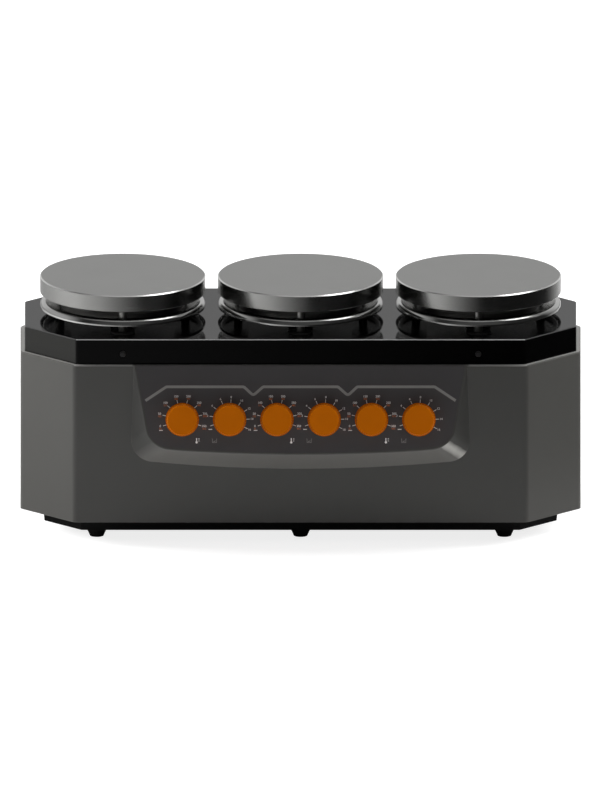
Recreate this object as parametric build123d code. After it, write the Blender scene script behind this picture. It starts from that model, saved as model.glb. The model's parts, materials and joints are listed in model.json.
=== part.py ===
"""Three-station magnetic stirrer with hot plates.

A long eight-sided housing stands on a tray with six feet. A control console leans out of its
front. A glossy cover closes its top, and on posts above the cover stand three hot plates, each
over a bright heat shield. Under each plate a motor turns a pair of magnets.

Axes: X to the right, Y to the back, Z up. The origin is on the bench, under the middle of the
whole instrument. Lengths are in millimetres and angles in degrees.
"""

import os
from math import cos, radians, sin, sqrt, tan

from build123d import *

# Stations and hot plates
station_sides = {"left": -1, "centre": 0, "right": 1}
plate_radius = 67.5
plate_thickness = 13.8
plate_lift = 19.2
plate_top_bevel = 0.9
plate_bottom_bevel = 0.5
plate_gap = 10.0

# Housing: an eight-sided shell, open underneath
housing_end_margin = 16.0
housing_side_margin = 17.0
housing_height = 132.6
housing_corner = 44.0
housing_corner_radius = 6.5
housing_wall = 3.0
housing_top_bevel = 0.7
deck_thickness = 3.0

# Top cover on a ledge of the housing
cover_ledge = 3.5
cover_height = 21.0
cover_wall = 2.5
cover_top = 3.0
cover_corner_radius = 3.0
cover_edge_bevel = 0.6

# Base tray and feet
tray_end_inset = 18.5
tray_side_inset = 14.0
tray_corner = 31.0
tray_corner_radius = 3.0
tray_height = 10.4
tray_draft = 6.0
tray_wall = 2.5
tray_flange = 2.5
tray_fit = 0.3
foot_height = 6.9
foot_top_radius = 8.7
foot_bottom_radius = 5.6
foot_inset_x = 43.8
foot_inset_y = 10.5

# Console on the front of the housing
console_tilt = 13.0
console_side_margin = 39.3
console_splay = 2.8
console_drop = 87.2
console_sag = 7.7
console_corner_radius = 18.0
console_edge_radius = 1.2
label_margin = 1.6
label_thickness = 0.4

# Heat shields
shield_sheet = 1.0
shield_height = 12.9
shield_flare = 3.9
shield_rim_lift = 7.2
shield_bend = 1.2

# Posts between cover, shield and plate
post_radius = 3.5
post_inset = 9.0
post_angles = (-90, 30, 150)
post_washer_radius = 9.5
post_washer_height = 1.0
plate_screw_radius = 2.0
plate_screw_grip = 7.5
plate_screw_head_radius = 3.6
plate_screw_head_height = 2.6

# Heaters
pan_inset = 17.0
pan_sheet = 0.8
element_inner_radius = 18.0
element_rim_gap = 2.2
lead_radius = 1.5
lead_spacing = 5.0
lead_inset = 6.5
lead_reach = 7.0
sensor_radius = 2.0
sensor_depth = 8.0
sensor_tail = 9.0
grommet_radius = 8.0
grommet_flange_radius = 10.0
grommet_flange = 1.5

# Stirring motors
motor_radius = 30.0
motor_height = 38.0
motor_edge_radius = 2.0
motor_pilot_radius = 9.0
motor_screw_inset = 8.0
motor_screw_radius = 1.5
motor_screw_grip = 6.0
motor_screw_head_radius = 2.9
motor_screw_head_height = 2.0
shaft_radius = 3.0
shaft_depth_in_motor = 30.0

# Magnet rotors, under the cover
rotor_length = 64.0
rotor_width = 18.0
rotor_height = 9.0
rotor_hub_radius = 10.0
rotor_hub_height = 3.0
rotor_top_gap = 1.6
magnet_radius = 7.0
magnet_height = 6.0
magnet_bevel = 0.4
magnet_inset = 8.0

# Controls
knob_pitch = 38.6
knob_drop = 43.0
knob_radius = 13.6
knob_skirt_height = 1.4
knob_grip_radius = 13.2
knob_face_radius = 12.3
knob_height = 15.0
knob_ridges = 36
knob_ridge_depth = 0.6
knob_face_bevel = 0.5
knob_lift = 0.6
knob_wall = 2.0
knob_boss_radius = 5.5
knob_shaft_flat = 1.5
pot_radius = 9.0
pot_depth = 10.0
bushing_radius = 4.5
bushing_length = 3.2
nut_across_flats = 12.0
nut_height = 2.0
board_thickness = 1.6
control_board_overhang = 15.5
control_board_height = 40.0
chip_size = 14.0
chip_height = 1.6
header_width = 30.0
header_depth = 6.0
header_height = 9.0

# Power board on posts of the tray
power_board_width = 210.0
power_board_depth = 96.0
power_board_lift = 8.0
power_board_post_radius = 4.0
power_board_margin = 7.0
transformer_x = -61.0
transformer_size = (48.0, 40.0, 36.0)
heat_sink_x = 21.0
heat_sink_size = (42.5, 60.0, 30.0)
heat_sink_base = 3.0
heat_sink_fins = 6
heat_sink_fin_width = 2.5
capacitor_places = ((62.0, 14.0), (82.0, 14.0))
capacitor_radius = 8.0
capacitor_height = 28.0
relay_x = -20.0
relay_pitch = 18.0
relay_size = (16.0, 14.0, 16.0)
board_screw_radius = 1.4
board_screw_head_radius = 2.6
board_screw_head_height = 1.8
board_screw_grip = 5.0

# Mains inlet, on the back
inlet_end_gap = 78.5
inlet_lift = 34.0
inlet_flange_width = 31.0
inlet_flange_height = 24.5
inlet_flange = 2.4
inlet_body_width = 27.2
inlet_body_height = 19.8
inlet_body_depth = 20.0
inlet_mouth_width = 23.4
inlet_mouth_height = 16.0
inlet_mouth_corner = 4.5
inlet_mouth_depth = 17.0
pin_spacing = 7.0
pin_width = 2.0
pin_height = 4.0
pin_length = 14.0
pin_tail = 6.0
earth_pin_rise = 2.0

# Rocker switch beside the inlet
switch_pitch = 38.0
switch_flange_width = 15.4
switch_flange_height = 21.4
switch_flange = 1.8
switch_body_width = 13.4
switch_body_height = 19.4
switch_body_depth = 14.0
switch_mouth_width = 11.2
switch_mouth_height = 17.4
switch_mouth_depth = 9.0
rocker_width = 10.6
rocker_half_length = 8.0
rocker_rise = 3.6
rocker_dip = 2.2
rocker_depth = 4.0
rocker_foot = 3.0
rocker_tilt = 10.0
rocker_pin_radius = 1.2
rocker_pin_bite = 0.7
rocker_pivot_depth = 0.6

# Small screws of the cover and of the base tray
small_screw_radius = 1.5
small_screw_head_radius = 2.5
small_screw_head_height = 1.5
small_screw_grip = 5.0
cover_screw_drop = 12.2
cover_screw_dome = 0.9
lug_width = 12.0
lug_thickness = 6.0
boss_radius = 4.5
boss_height = 14.0
base_screw_wall_gap = 4.0
base_screw_corner_gap = 12.5
base_screw_inner_x = 92.0

# Ventilation slots in the floor of the tray
vent_count = 11
vent_pitch = 8.0
vent_width = 3.0
vent_length = 46.0
vent_offset_x = 92.0

# Clearances between pieces
running_gap = 0.05
hole_gap = 0.2
slip_gap = 0.3

# Plan of the stations, the housing and the tray
station_pitch = 2 * plate_radius + plate_gap
housing_width = 2 * (station_pitch + plate_radius + housing_end_margin)
housing_depth = 2 * (plate_radius + housing_side_margin)
tray_width = housing_width - 2 * tray_end_inset
tray_depth = housing_depth - 2 * tray_side_inset
front_y = -housing_depth / 2
back_y = housing_depth / 2
inside_back_y = back_y - housing_wall
inlet_x = inlet_end_gap - housing_width / 2
switch_x = inlet_x + switch_pitch
post_circle_radius = plate_radius - post_inset
pan_radius = plate_radius - pan_inset
lead_y = pan_radius - lead_inset
magnet_x = rotor_length / 2 - magnet_inset

# Heights above the bench
tray_bottom_z = foot_height
housing_bottom_z = tray_bottom_z + tray_height
housing_top_z = housing_bottom_z + housing_height
deck_bottom_z = housing_top_z - deck_thickness
cover_top_z = housing_top_z + cover_height
cover_inside_z = cover_top_z - cover_top
washer_top_z = cover_top_z + post_washer_height
plate_bottom_z = cover_top_z + plate_lift
shield_top_z = cover_top_z + shield_height
shield_bottom_z = shield_top_z - shield_sheet
pan_floor_z = shield_top_z + pan_sheet
rotor_top_z = cover_inside_z - rotor_top_gap
rotor_bottom_z = rotor_top_z - rotor_height
power_board_z = tray_bottom_z + tray_wall + power_board_lift
back_fittings_z = housing_bottom_z + inlet_lift
rocker_y = back_y + switch_flange - rocker_pivot_depth

# Places along the console's own axes
tilt = radians(console_tilt)
knob_row = (2 * len(station_sides) - 1) * knob_pitch
console_top_width = knob_row + 2 * console_side_margin
console_bottom_width = console_top_width + 2 * console_splay
knob_slope = knob_drop / cos(tilt)
pot_back = -housing_wall - pot_depth


def shrunk(width, depth, corner, inset):
    """Sizes of an eight-sided outline after all its sides move in by inset."""
    return width - 2 * inset, depth - 2 * inset, corner - (2 - sqrt(2)) * inset


def octagon(width, depth, corner, radius):
    """A rectangle with its corners cut at 45 degrees and its eight edges rounded."""
    x, y = width / 2, depth / 2
    quarter = [(x - corner, y), (x, y - corner)]
    right = quarter + [(px, -py) for px, py in reversed(quarter)]
    left = [(-px, py) for px, py in reversed(right)]
    face = make_face(Polyline(*right, *left, close=True))
    return fillet(face.vertices(), radius)


def prism(face, low_z, high_z):
    """The face, raised from one height to another."""
    return Pos(0, 0, low_z) * extrude(face, high_z - low_z)


def rod(radius, low_z, high_z, x=0, y=0):
    """An upright cylinder between two heights."""
    height = high_z - low_z
    return Pos(x, y, low_z) * Cylinder(radius, height, align=(Align.CENTER, Align.CENTER, Align.MIN))


def block(x_range, y_range, z_range):
    """A box between pairs of limits along X, Y and Z."""
    sizes = [high - low for low, high in (x_range, y_range, z_range)]
    corner = (x_range[0], y_range[0], z_range[0])
    return Pos(*corner) * Box(*sizes, align=Align.MIN)


def back_block(x, z, width, height, near_y, far_y):
    """A box on the back wall, centred on x and z."""
    return block((x - width / 2, x + width / 2), (near_y, far_y), (z - height / 2, z + height / 2))


def on_panel(x, slope=knob_slope):
    """Place on the console: X to the right, Y up the slope, Z out of the panel."""
    panel = Plane(origin=(0, front_y, housing_top_z), x_dir=(1, 0, 0), z_dir=(0, -cos(tilt), sin(tilt)))
    return panel.location * Pos(x, -slope, 0)


def knob_places():
    """Name, and distance from the middle, of each control from left to right."""
    names = [f"{kind}_{station}" for station in station_sides for kind in ("heat", "speed")]
    return [(name, index * knob_pitch - knob_row / 2) for index, name in enumerate(names)]


def station_x(station):
    return station_sides[station] * station_pitch


def post_points(station):
    """Axes of the three posts of a station."""
    x = station_x(station)
    circle = [radians(angle) for angle in post_angles]
    return [(x + post_circle_radius * cos(a), post_circle_radius * sin(a)) for a in circle]


def console_section(proud, inset):
    """Outline of the console where it stands proud of the housing's front.

    Its sides and bottom slope at 45 degrees, so the outline shrinks as it comes forward. An
    inset moves every face of the console inwards by that much, for the hollow behind it.
    """
    shrink = proud + inset * sqrt(2)
    top_x = console_top_width / 2 - shrink
    bottom_x = console_bottom_width / 2 - shrink
    middle = shrink - console_drop
    side = middle + console_sag * (2 * bottom_x / console_bottom_width) ** 2
    above = housing_wall
    edges = Line((-top_x, above), (-bottom_x, side))
    edges += ThreePointArc((-bottom_x, side), (0, middle), (bottom_x, side))
    edges += Line((bottom_x, side), (top_x, above))
    edges += Line((top_x, above), (-top_x, above))
    face = make_face(edges)
    face = fillet(face.vertices().sort_by(Axis.Y)[:2], console_corner_radius)
    upright = Plane(origin=(0, front_y - proud, housing_top_z), x_dir=(1, 0, 0), z_dir=(0, -1, 0))
    return upright * face


def console_block(behind, inset, top_z):
    """The leaning console as a solid that starts behind the housing's front face."""
    ahead = console_drop * tan(tilt) + housing_wall
    body = loft([console_section(-behind, inset), console_section(ahead, inset)], ruled=True)
    set_back = inset / cos(tilt)
    foot_z = housing_top_z - console_drop - behind
    foot_y = front_y + set_back - (housing_top_z - foot_z) * tan(tilt)
    head_y = front_y + set_back - (housing_top_z - top_z) * tan(tilt)
    side_view = [(front_y + behind, top_z), (head_y, top_z), (foot_y, foot_z), (front_y + behind, foot_z)]
    wedge = extrude(Plane.YZ * make_face(Polyline(*side_view, close=True)), housing_width / 2, both=True)
    return body & wedge


def console():
    """The console with its panel's side and bottom edges rounded."""
    body = console_block(housing_wall - slip_gap, 0, housing_top_z)
    outward = Vector(0, -cos(tilt), sin(tilt))
    panel = max(body.faces(), key=lambda face: face.normal_at().dot(outward))
    rim = [edge for edge in panel.edges() if edge.center().Z < housing_top_z - slip_gap]
    return fillet(rim, console_edge_radius)


def lug_points():
    """X of the two cover screws on the front, which the back repeats."""
    return -station_pitch, station_pitch


def base_screw_points():
    """Axes of the screws that hold the tray's flange to the housing."""
    end_x = housing_width / 2 - housing_wall - base_screw_wall_gap
    end_y = housing_depth / 2 - housing_corner - base_screw_corner_gap
    long_y = inside_back_y - base_screw_wall_gap
    places = [(end_x, end_y), (base_screw_inner_x, long_y)]
    return [(side_x * x, side_y * y) for x, y in places for side_x in (-1, 1) for side_y in (-1, 1)]


def foot_points():
    """Centres of the six feet, in two rows of three."""
    end_x = tray_width / 2 - foot_inset_x
    y = tray_depth / 2 - foot_inset_y
    return [(x, side * y) for side in (-1, 1) for x in (-end_x, 0, end_x)]


def power_board_points():
    """Axes of the four posts under the power board."""
    x = power_board_width / 2 - power_board_margin
    y = power_board_depth / 2 - power_board_margin
    return [(side_x * x, side_y * y) for side_x in (-1, 1) for side_y in (-1, 1)]


def housing_shell():
    """Walls, deck, console, screw bosses and cover lugs, as one casting."""
    outer = octagon(housing_width, housing_depth, housing_corner, housing_corner_radius)
    body = prism(outer, housing_bottom_z, housing_top_z)
    rim = body.faces().sort_by(Axis.Z)[-1].outer_wire().edges()
    body = chamfer(rim, housing_top_bevel) + console()

    inner_sizes = shrunk(housing_width, housing_depth, housing_corner, housing_wall)
    inner = octagon(*inner_sizes, housing_corner_radius - housing_wall)
    body -= prism(inner, housing_bottom_z, deck_bottom_z)
    body -= console_block(housing_wall + slip_gap, housing_wall, deck_bottom_z)

    boss_bottom_z = housing_bottom_z + tray_flange
    for x, y in base_screw_points():
        body += rod(boss_radius, boss_bottom_z, boss_bottom_z + boss_height, x, y)
        body -= rod(small_screw_radius, boss_bottom_z, boss_bottom_z + small_screw_grip + 1, x, y)

    lug_y = back_y - cover_ledge - cover_wall - slip_gap
    screw_z = cover_top_z - cover_screw_drop
    for x in lug_points():
        for side in (-1, 1):
            y_range = sorted((side * lug_y, side * (lug_y - lug_thickness)))
            z_range = (housing_top_z - 1, screw_z + lug_width / 2)
            body += block((x - lug_width / 2, x + lug_width / 2), y_range, z_range)
            across = Pos(x, side * lug_y, screw_z) * Rot(90, 0, 0)
            body -= across * Cylinder(small_screw_radius, 2 * lug_thickness)

    for station in station_sides:
        x = station_x(station)
        body -= rod(motor_pilot_radius + hole_gap, deck_bottom_z, housing_top_z, x)
        for point_x, point_y in motor_screw_points(station):
            body -= rod(motor_screw_radius + hole_gap, deck_bottom_z, housing_top_z, point_x, point_y)

    for _, x in knob_places():
        body -= on_panel(x) * Cylinder(bushing_radius + hole_gap, 4 * housing_wall)

    body -= back_block(inlet_x, back_fittings_z, inlet_body_width + 2 * hole_gap,
                       inlet_body_height + 2 * hole_gap, inside_back_y - 1, back_y + 1)
    body -= back_block(switch_x, back_fittings_z, switch_body_width + 2 * hole_gap,
                       switch_body_height + 2 * hole_gap, inside_back_y - 1, back_y + 1)
    return body


def base_tray():
    """Black tub that closes the housing from below, with a flange, board posts and vents."""
    tub = octagon(tray_width, tray_depth, tray_corner, tray_corner_radius)
    body = Pos(0, 0, housing_bottom_z) * extrude(tub, -tray_height, taper=tray_draft)
    flange_sizes = shrunk(housing_width, housing_depth, housing_corner, housing_wall + tray_fit)
    flange = octagon(*flange_sizes, housing_corner_radius - housing_wall)
    body += prism(flange, housing_bottom_z, housing_bottom_z + tray_flange)
    hollow = octagon(*shrunk(tray_width, tray_depth, tray_corner, tray_wall), tray_wall)
    floor_z = tray_bottom_z + tray_wall
    top_z = housing_bottom_z + tray_flange
    body -= Pos(0, 0, top_z) * extrude(hollow, floor_z - top_z, taper=tray_draft)

    for x, y in base_screw_points():
        body -= rod(small_screw_radius + hole_gap, housing_bottom_z, top_z, x, y)
    for x, y in power_board_points():
        body += rod(power_board_post_radius, floor_z, floor_z + power_board_lift, x, y)
        body -= rod(board_screw_radius, floor_z + 1, floor_z + power_board_lift, x, y)
    for x, y in foot_points():
        body -= rod(small_screw_radius, tray_bottom_z, floor_z, x, y)
    for side in (-1, 1):
        for index in range(vent_count):
            x = side * vent_offset_x + (index - (vent_count - 1) / 2) * vent_pitch
            slot = Pos(x, 0, 0) * SlotOverall(vent_length, vent_width, rotation=90)
            body -= prism(slot, tray_bottom_z, floor_z)
    return body


def rubber_feet():
    """Six tapered feet, each hollowed for its screw."""
    foot = Cone(foot_bottom_radius, foot_top_radius, foot_height,
                align=(Align.CENTER, Align.CENTER, Align.MIN))
    foot -= rod(small_screw_radius + hole_gap, 0, foot_height)
    foot -= rod(small_screw_head_radius + hole_gap, 0, foot_height / 2)
    return [Pos(x, y, 0) * foot for x, y in foot_points()]


def foot_screws():
    """Screws up through the feet into the tray's floor."""
    head_z = foot_height / 2 - small_screw_head_height
    screw = rod(small_screw_head_radius, head_z, foot_height / 2)
    screw += rod(small_screw_radius, foot_height / 2, foot_height + tray_wall)
    return [Pos(x, y, 0) * screw for x, y in foot_points()]


def base_screws():
    """Screws up through the tray's flange into the housing's bosses."""
    head_z = housing_bottom_z - small_screw_head_height
    tip_z = housing_bottom_z + tray_flange + small_screw_grip
    screw = rod(small_screw_head_radius, head_z, housing_bottom_z)
    screw += rod(small_screw_radius, housing_bottom_z, tip_z)
    return [Pos(x, y, 0) * screw for x, y in base_screw_points()]


def top_cover():
    """Glossy black cover: one shell with holes for posts, leads and screws."""
    outer = octagon(*shrunk(housing_width, housing_depth, housing_corner, cover_ledge), cover_corner_radius)
    body = prism(outer, housing_top_z, cover_top_z)
    body = chamfer(body.faces().sort_by(Axis.Z)[-1].outer_wire().edges(), cover_edge_bevel)
    inner_sizes = shrunk(housing_width, housing_depth, housing_corner, cover_ledge + cover_wall)
    body -= prism(octagon(*inner_sizes, cover_corner_radius / 2), housing_top_z, cover_inside_z)
    for station in station_sides:
        for x, y in post_points(station):
            body -= rod(plate_screw_radius + hole_gap, cover_inside_z, cover_top_z, x, y)
        body -= rod(grommet_radius, cover_inside_z, cover_top_z, station_x(station), lead_y)
    for x in lug_points():
        across = Pos(x, 0, cover_top_z - cover_screw_drop) * Rot(90, 0, 0)
        body -= across * Cylinder(small_screw_radius + hole_gap, housing_depth)
    return body


def cover_screws():
    """Two domed screws on the front of the cover and two on its back."""
    head = Cylinder(small_screw_head_radius, small_screw_head_height,
                    align=(Align.CENTER, Align.CENTER, Align.MIN))
    head = fillet(head.edges().sort_by(Axis.Z)[-1], cover_screw_dome)
    shank_length = cover_wall + slip_gap + small_screw_grip
    screw = head + rod(small_screw_radius, -shank_length, 0)
    face_y = back_y - cover_ledge
    screw_z = cover_top_z - cover_screw_drop
    screws = []
    for x in lug_points():
        screws.append(Pos(x, -face_y, screw_z) * Rot(90, 0, 0) * screw)
        screws.append(Pos(x, face_y, screw_z) * Rot(-90, 0, 0) * screw)
    return screws


def hot_plate(station):
    """Aluminium disc with blind holes below for its screws and its sensor."""
    x = station_x(station)
    body = rod(plate_radius, plate_bottom_z, plate_bottom_z + plate_thickness, x)
    body = chamfer(body.edges().sort_by(Axis.Z)[-1], plate_top_bevel)
    body = chamfer(body.edges().sort_by(Axis.Z)[0], plate_bottom_bevel)
    for point_x, point_y in post_points(station):
        top_z = plate_bottom_z + plate_screw_grip + 1
        body -= rod(plate_screw_radius + running_gap, plate_bottom_z, top_z, point_x, point_y)
    body -= rod(sensor_radius + running_gap, plate_bottom_z, plate_bottom_z + sensor_depth, x, lead_y)
    return body


def heating_element(station):
    """Cast ring heater under the plate, with two leads that go down through the grommet."""
    x = station_x(station)
    body = rod(pan_radius - pan_sheet - element_rim_gap, pan_floor_z, plate_bottom_z, x)
    body -= rod(element_inner_radius, pan_floor_z, plate_bottom_z, x)
    body -= rod(sensor_radius + hole_gap, pan_floor_z, plate_bottom_z, x, lead_y)
    for side in (-1, 1):
        lead_x = x + side * lead_spacing
        body += rod(lead_radius, cover_inside_z - lead_reach, pan_floor_z, lead_x, lead_y)
    return body


def heater_pan(station):
    """Steel pan that holds the heater against the plate."""
    x = station_x(station)
    body = rod(pan_radius, shield_top_z, plate_bottom_z, x)
    body -= rod(pan_radius - pan_sheet, pan_floor_z, plate_bottom_z, x)
    return body - lead_holes(x, shield_top_z, pan_floor_z)


def lead_holes(x, low_z, high_z):
    """Holes for the two heater leads and the sensor."""
    holes = rod(sensor_radius + hole_gap, low_z, high_z, x, lead_y)
    for side in (-1, 1):
        holes += rod(lead_radius + hole_gap, low_z, high_z, x + side * lead_spacing, lead_y)
    return holes


def heat_shield(station):
    """Spun bright dish: a flat top and a skirt that flares to its rim."""
    top_radius = plate_radius - shield_flare
    drop = shield_height - shield_rim_lift
    slant = sqrt(shield_flare ** 2 + drop ** 2)
    rim_z = cover_top_z + shield_rim_lift
    inner_top_radius = top_radius - shield_sheet * (slant - shield_flare) / drop
    inner_rim = (plate_radius - shield_sheet * drop / slant, rim_z - shield_sheet * shield_flare / slant)
    profile = [(0, shield_top_z), (top_radius, shield_top_z), (plate_radius, rim_z),
               inner_rim, (inner_top_radius, shield_bottom_z), (0, shield_bottom_z)]
    face = make_face(Polyline(*profile, close=True))
    shoulder = [vertex for vertex in face.vertices() if abs(vertex.X - top_radius) < running_gap]
    face = fillet(shoulder, shield_bend)
    x = station_x(station)
    body = Pos(x, 0, 0) * revolve(Plane.XZ * face, Axis.Z)
    for point_x, point_y in post_points(station):
        body -= rod(plate_screw_radius + hole_gap, shield_bottom_z, shield_top_z, point_x, point_y)
    return body - lead_holes(x, shield_bottom_z, shield_top_z)


def spacers(low_z, high_z):
    """Nine tubes round the plate screws, between two heights."""
    tube = rod(post_radius, low_z, high_z) - rod(plate_screw_radius + hole_gap, low_z, high_z)
    return [Pos(x, y, 0) * tube for station in station_sides for x, y in post_points(station)]


def post_washers():
    """Flat black washers on the cover, one under each post."""
    washer = rod(post_washer_radius, cover_top_z, washer_top_z)
    washer -= rod(plate_screw_radius + hole_gap, cover_top_z, washer_top_z)
    return [Pos(x, y, 0) * washer for station in station_sides for x, y in post_points(station)]


def lower_standoffs():
    """Posts from the washers to the shields."""
    return spacers(washer_top_z, shield_bottom_z)


def upper_standoffs():
    """Posts from the shields to the plates."""
    return spacers(shield_top_z, plate_bottom_z)


def plate_screws():
    """Long screws up through cover, posts and shields into the plates."""
    screw = rod(plate_screw_head_radius, cover_inside_z - plate_screw_head_height, cover_inside_z)
    screw += rod(plate_screw_radius, cover_inside_z, plate_bottom_z + plate_screw_grip)
    return [Pos(x, y, 0) * screw for station in station_sides for x, y in post_points(station)]


def temperature_sensors():
    """A probe in each plate, down through the pan, the shield and the grommet."""
    probe = rod(sensor_radius, shield_bottom_z - 1, plate_bottom_z + sensor_depth)
    probe += rod(lead_radius, cover_inside_z - sensor_tail, shield_bottom_z - 1)
    return [Pos(station_x(station), lead_y, 0) * probe for station in station_sides]


def cable_grommets():
    """Rubber grommets in the cover for the leads of each plate."""
    grommet = rod(grommet_radius, cover_inside_z - grommet_flange, cover_top_z + grommet_flange)
    grommet += rod(grommet_flange_radius, cover_top_z, cover_top_z + grommet_flange)
    grommet += rod(grommet_flange_radius, cover_inside_z - grommet_flange, cover_inside_z)
    low_z = cover_inside_z - grommet_flange
    for lead_x in (-lead_spacing, 0, lead_spacing):
        grommet -= rod(lead_radius + running_gap, low_z, cover_top_z + grommet_flange, lead_x)
    return [Pos(station_x(station), lead_y, 0) * grommet for station in station_sides]


def motor_screw_points(station):
    """Axes of the four screws of a motor."""
    reach = (motor_radius - motor_screw_inset) / sqrt(2)
    return [(station_x(station) + side_x * reach, side_y * reach)
            for side_x in (-1, 1) for side_y in (-1, 1)]


def stir_motor(station):
    """Motor can under the deck, with a pilot in the deck's hole and a bore for the shaft."""
    x = station_x(station)
    body = rod(motor_radius, deck_bottom_z - motor_height, deck_bottom_z, x)
    body = fillet(body.edges().sort_by(Axis.Z)[0], motor_edge_radius)
    body += rod(motor_pilot_radius, deck_bottom_z, housing_top_z, x)
    bore_bottom_z = housing_top_z - shaft_depth_in_motor
    body -= rod(shaft_radius + running_gap, bore_bottom_z, housing_top_z, x)
    for point_x, point_y in motor_screw_points(station):
        low_z = deck_bottom_z - motor_screw_grip - 1
        body -= rod(motor_screw_radius + running_gap, low_z, deck_bottom_z, point_x, point_y)
    return body


def motor_screws():
    """Screws down through the deck into the motors."""
    screw = rod(motor_screw_head_radius, housing_top_z, housing_top_z + motor_screw_head_height)
    screw += rod(motor_screw_radius, deck_bottom_z - motor_screw_grip, housing_top_z)
    return [Pos(x, y, 0) * screw for station in station_sides for x, y in motor_screw_points(station)]


def motor_shaft(station):
    """Steel shaft from inside the motor up to the top of the rotor."""
    return rod(shaft_radius, housing_top_z - shaft_depth_in_motor + slip_gap, rotor_top_z, station_x(station))


def magnet_rotor(station):
    """Aluminium arm on the shaft, with a pocket near each end for a magnet."""
    arm = prism(SlotOverall(rotor_length, rotor_width), rotor_bottom_z, rotor_top_z)
    arm += rod(rotor_hub_radius, rotor_bottom_z - rotor_hub_height, rotor_top_z)
    arm -= rod(shaft_radius + running_gap / 2, rotor_bottom_z - rotor_hub_height, rotor_top_z)
    for side in (-1, 1):
        arm -= rod(magnet_radius + running_gap, rotor_top_z - magnet_height, rotor_top_z, side * magnet_x)
    return Pos(station_x(station), 0, 0) * arm


def rotor_magnets(station):
    """Two disc magnets in the pockets of the rotor."""
    magnet = rod(magnet_radius, rotor_top_z - magnet_height, rotor_top_z)
    magnet = chamfer(magnet.edges(), magnet_bevel)
    return [Pos(station_x(station) + side * magnet_x, 0, 0) * magnet for side in (-1, 1)]


def control_label():
    """Film on the panel, with a hole for each control."""
    foot_proud = console_drop * tan(tilt) / (1 + tan(tilt))
    foot_slope = (console_drop - foot_proud) / cos(tilt)
    side_drop = console_drop - console_sag
    side_proud = side_drop * tan(tilt) / (1 + tan(tilt))
    side_slope = (side_drop - side_proud) / cos(tilt)
    top_x = console_top_width / 2 - label_margin
    bottom_x = console_bottom_width / 2 - side_proud - label_margin
    middle = label_margin - foot_slope
    side = label_margin - side_slope
    edges = Line((-top_x, 0), (-bottom_x, side))
    edges += ThreePointArc((-bottom_x, side), (0, middle), (bottom_x, side))
    edges += Line((bottom_x, side), (top_x, 0))
    edges += Line((top_x, 0), (-top_x, 0))
    face = make_face(edges)
    face = fillet(face.vertices().sort_by(Axis.Y)[:2], console_corner_radius - label_margin / 2)
    body = on_panel(0, 0) * extrude(face, label_thickness)
    for _, x in knob_places():
        body -= on_panel(x) * Cylinder(bushing_radius + hole_gap, 4 * label_thickness)
    return body


def knob():
    """Ridged cone on a round skirt, hollow below, with a boss that takes the flatted shaft."""
    low_z = label_thickness + knob_lift
    grip_z = low_z + knob_skirt_height
    high_z = low_z + knob_height
    step = 180 / knob_ridges

    def ridged(radius, z):
        corners = [Vector(radius - knob_ridge_depth * (index % 2), 0).rotate(Axis.Z, index * step)
                   for index in range(2 * knob_ridges)]
        return Pos(0, 0, z) * make_face(Polyline(*corners, close=True))

    skirt = rod(knob_radius, low_z, grip_z)
    skirt = chamfer(skirt.edges().sort_by(Axis.Z)[-1], knob_skirt_height / 3)
    grip = loft([ridged(knob_grip_radius, grip_z), ridged(knob_face_radius, high_z)], ruled=True)
    bevel_height = 2 * knob_radius
    bevel = Cone(knob_face_radius - knob_face_bevel + bevel_height, knob_face_radius - knob_face_bevel,
                 bevel_height, align=(Align.CENTER, Align.CENTER, Align.MAX))
    body = skirt + (grip & Pos(0, 0, high_z) * bevel)
    roof_z = high_z - knob_wall
    body -= Pos(0, 0, low_z) * Cone(knob_grip_radius - knob_wall, knob_face_radius - knob_wall,
                                    roof_z - low_z, align=(Align.CENTER, Align.CENTER, Align.MIN))
    boss = rod(knob_boss_radius, bushing_length + knob_lift, roof_z)
    return body + (boss - flatted_rod(shaft_radius + running_gap / 2, 0, roof_z))


def flatted_rod(radius, low_z, high_z):
    """A rod with one flat along it."""
    flat_y = radius - knob_shaft_flat
    return rod(radius, low_z, high_z) - block((-radius, radius), (flat_y, 2 * radius), (low_z, high_z))


def control_shaft():
    """Shaft of a potentiometer: round in its bushing and flatted inside the knob."""
    flat_z = bushing_length + knob_lift
    tip_z = label_thickness + knob_lift + knob_height - knob_wall
    low_z = pot_back / 2
    return rod(shaft_radius, low_z, flat_z) + flatted_rod(shaft_radius, flat_z, tip_z)


def potentiometers():
    """Six potentiometer bodies behind the panel, with threaded bushings through it."""
    body = rod(pot_radius, pot_back, -housing_wall) + rod(bushing_radius, -housing_wall, bushing_length)
    body -= rod(shaft_radius + running_gap, pot_back / 2 - slip_gap, bushing_length)
    return [on_panel(x) * body for _, x in knob_places()]


def bushing_nuts():
    """Hexagon nuts that clamp the potentiometers to the panel."""
    nut = extrude(RegularPolygon(nut_across_flats / 2, 6, major_radius=False), nut_height)
    nut = Pos(0, 0, label_thickness) * nut
    nut -= rod(bushing_radius + running_gap, label_thickness, label_thickness + nut_height)
    return [on_panel(x) * nut for _, x in knob_places()]


def control_board():
    """Circuit board on the backs of the potentiometers, with its chips and a plug header."""
    back = pot_back - board_thickness
    underside = (Align.CENTER, Align.CENTER, Align.MAX)
    width = knob_row + 2 * control_board_overhang
    board = Pos(0, 0, pot_back) * Box(width, control_board_height, board_thickness, align=underside)
    for station in station_sides:
        chip_x = 2 * knob_pitch * station_sides[station]
        board += Pos(chip_x, 0, back) * Box(chip_size, chip_size, chip_height, align=underside)
    header_y = control_board_height / 3
    board += Pos(0, header_y, back) * Box(header_width, header_depth, header_height, align=underside)
    return on_panel(0) * board


def component(x, y, size, low_z):
    """A block on a board, centred on x and y."""
    width, depth, height = size
    return block((x - width / 2, x + width / 2), (y - depth / 2, y + depth / 2), (low_z, low_z + height))


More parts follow.
